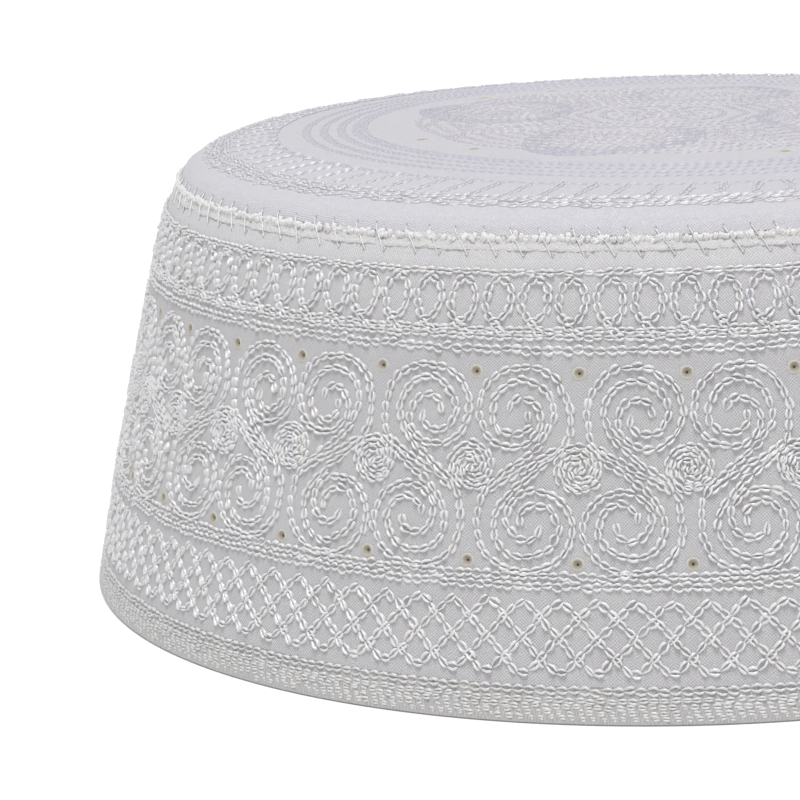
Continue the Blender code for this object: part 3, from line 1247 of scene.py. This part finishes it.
CAMERA_PLACE = (0.0, -0.4734, 0.1306)
FOCAL_PIXELS = 3063.1
FRAME_PIXELS = 800
SENSOR_MM = 36.0
PITCH_DOWN = math.radians(12.633)
YAW = math.radians(-5.168)
ROLL = math.radians(2.609)


def make_camera():
    level_share = math.cos(PITCH_DOWN)
    forward = Vector((math.sin(YAW) * level_share, math.cos(YAW) * level_share, -math.sin(PITCH_DOWN)))
    level = Vector((math.cos(YAW), -math.sin(YAW), 0.0))
    up = level.cross(forward)
    right = math.cos(ROLL) * level - math.sin(ROLL) * up
    top = math.sin(ROLL) * level + math.cos(ROLL) * up
    data = bpy.data.cameras.new("camera")
    data.sensor_width = SENSOR_MM
    data.lens = FOCAL_PIXELS * SENSOR_MM / FRAME_PIXELS
    data.clip_start = 0.01
    camera = bpy.data.objects.new("camera", data)
    turn = Matrix((right, top, -forward)).transposed().to_4x4()
    camera.matrix_world = Matrix.Translation(CAMERA_PLACE) @ turn
    bpy.context.scene.collection.objects.link(camera)
    bpy.context.scene.camera = camera


# Soft lamps: direction that the light comes from, its width in degrees and strength
LAMPS = table(
    "name place spread strength",
    ("key_light", (-0.06, -0.25, 1.0), 24.0, 2.2),
    ("front_light", (0.35, -1.0, 0.6), 60.0, 0.15),
)
WORLD_LIGHT = 0.46
FLOOR_REACH = 3.0


def add_lamp(name, place, spread, strength):
    data = bpy.data.lights.new(name, "SUN")
    data.angle = math.radians(spread)
    data.energy = strength
    lamp = bpy.data.objects.new(name, data)
    lamp.location = place
    lamp.rotation_euler = Vector(place).to_track_quat("Z", "Y").to_euler()
    bpy.context.scene.collection.objects.link(lamp)


def make_studio():
    scene = bpy.context.scene
    scene.view_settings.view_transform = "Standard"
    world = bpy.data.worlds.new("studio")
    scene.world = world
    world.use_nodes = True
    background = world.node_tree.nodes["Background"]
    background.inputs["Color"].default_value = (1.0, 1.0, 1.0, 1.0)
    background.inputs["Strength"].default_value = WORLD_LIGHT
    for lamp in LAMPS:
        add_lamp(**lamp)
    floor_mesh = bpy.data.meshes.new("floor")
    corners = [(x * FLOOR_REACH, y * FLOOR_REACH, 0.0) for x, y in ((-1, -1), (1, -1), (1, 1), (-1, 1))]
    floor_mesh.from_pydata(corners, [], [(0, 1, 2, 3)])
    floor = bpy.data.objects.new("floor", floor_mesh)
    floor_mesh.materials.append(floor_material())
    scene.collection.objects.link(floor)


make_camera()
make_studio()
# Colours where each cloth and thread is dark, light and tinged; a thread's dark colour is its painted shade
CLOTHS = table(
    "name dark light tinge clean",
    ("cotton_cloth", (0.38, 0.37, 0.385), (0.655, 0.64, 0.67), (0.65, 0.645, 0.645), LIGHTER_STRIP),
    ("crown_cotton", (0.52, 0.51, 0.55), (0.72, 0.705, 0.76), (0.71, 0.70, 0.73), None),
    # The seam's cloth is painted lighter than the side's, as painted light against the shade on the roll's
    # steep face
    ("seam_cotton", (0.60, 0.59, 0.595), (0.81, 0.80, 0.81), (0.81, 0.80, 0.79), None),
    ("hem_cotton", (0.34, 0.335, 0.335), (0.54, 0.53, 0.53), (0.53, 0.52, 0.51), None),
)
THREADS = table(
    "name dark light tinge roughness",
    ("embroidery_thread", (0.50, 0.49, 0.51), (0.82, 0.81, 0.84), (0.82, 0.815, 0.79), 0.22),
    ("hem_thread", (0.42, 0.415, 0.42), (0.735, 0.725, 0.74), (0.735, 0.73, 0.715), 0.3),
    ("frayed_thread", (0.52, 0.51, 0.50), (0.86, 0.85, 0.865), (0.86, 0.85, 0.835), 0.5),
    ("crown_thread", (0.33, 0.32, 0.36), (0.77, 0.76, 0.79), (0.77, 0.76, 0.77), 0.3),
    ("stem_thread", (0.29, 0.285, 0.33), (0.78, 0.77, 0.80), (0.76, 0.75, 0.79), 0.3),
    ("tinted_thread", (0.39, 0.38, 0.44), (0.53, 0.52, 0.59), (0.58, 0.57, 0.635), 0.5),
    ("ring_thread", (0.37, 0.36, 0.42), (0.62, 0.61, 0.68), (0.66, 0.645, 0.71), 0.5),
    ("pale_thread", (0.35, 0.34, 0.38), (0.66, 0.65, 0.695), (0.72, 0.70, 0.735), 0.4),
)
cloths = {row["name"]: cloth_material(**row) for row in CLOTHS}
threads = {row["name"]: thread_material(**row) for row in THREADS}
band = band_cloth(cloths["cotton_cloth"])
crown = crown_cloth(cloths["crown_cotton"])
seam = seam_fold(cloths["seam_cotton"])
hem = hem_cloth(cloths["hem_cotton"])
eyelet_rims(rim_material())
overcast_threads(threads["embroidery_thread"])
painted_pin_shade(painted_shade_material())
STITCHING = table(
    "name chains material relief leant loose",
    ("scroll_stitching", scrolls, "embroidery_thread", 0.9, False, 1.0),
    ("rosette_stitching", rosettes, "embroidery_thread", 0.9, False, 1.0),
    ("loop_stitching", loops, "embroidery_thread", 1.05, False, 1.0),
    ("lattice_stitching", lattice, "embroidery_thread", 0.8, False, 1.0),
    ("line_stitching", side_lines, "embroidery_thread", 0.75, False, 1.0),
    ("hem_stitching", hem_rows, "hem_thread", 0.75, False, 0.8),
    ("seam_tufts", seam_tufts, "frayed_thread", 0.9, False, 1.0),
    ("border_stitching", border, "crown_thread", 0.6, True, 1.5),
    ("stem_stitching", border_stems, "stem_thread", 0.48, True, 1.0),
    ("ring_stitching", crown_rings, "ring_thread", 0.35, True, 0.7),
    ("petal_stitching", petal_edges, "tinted_thread", 0.35, True, 1.0),
    ("medallion_stitching", medallion_marks, "pale_thread", 0.4, True, 1.0),
    ("medallion_ground_stitching", medallion_fill, "pale_thread", 0.35, True, 1.0),
)
for row in STITCHING:
    mesh = row["chains"]().mesh(row["name"], row["relief"], row["leant"], row["loose"])
    new_piece(row["name"], mesh, threads[row["material"]])
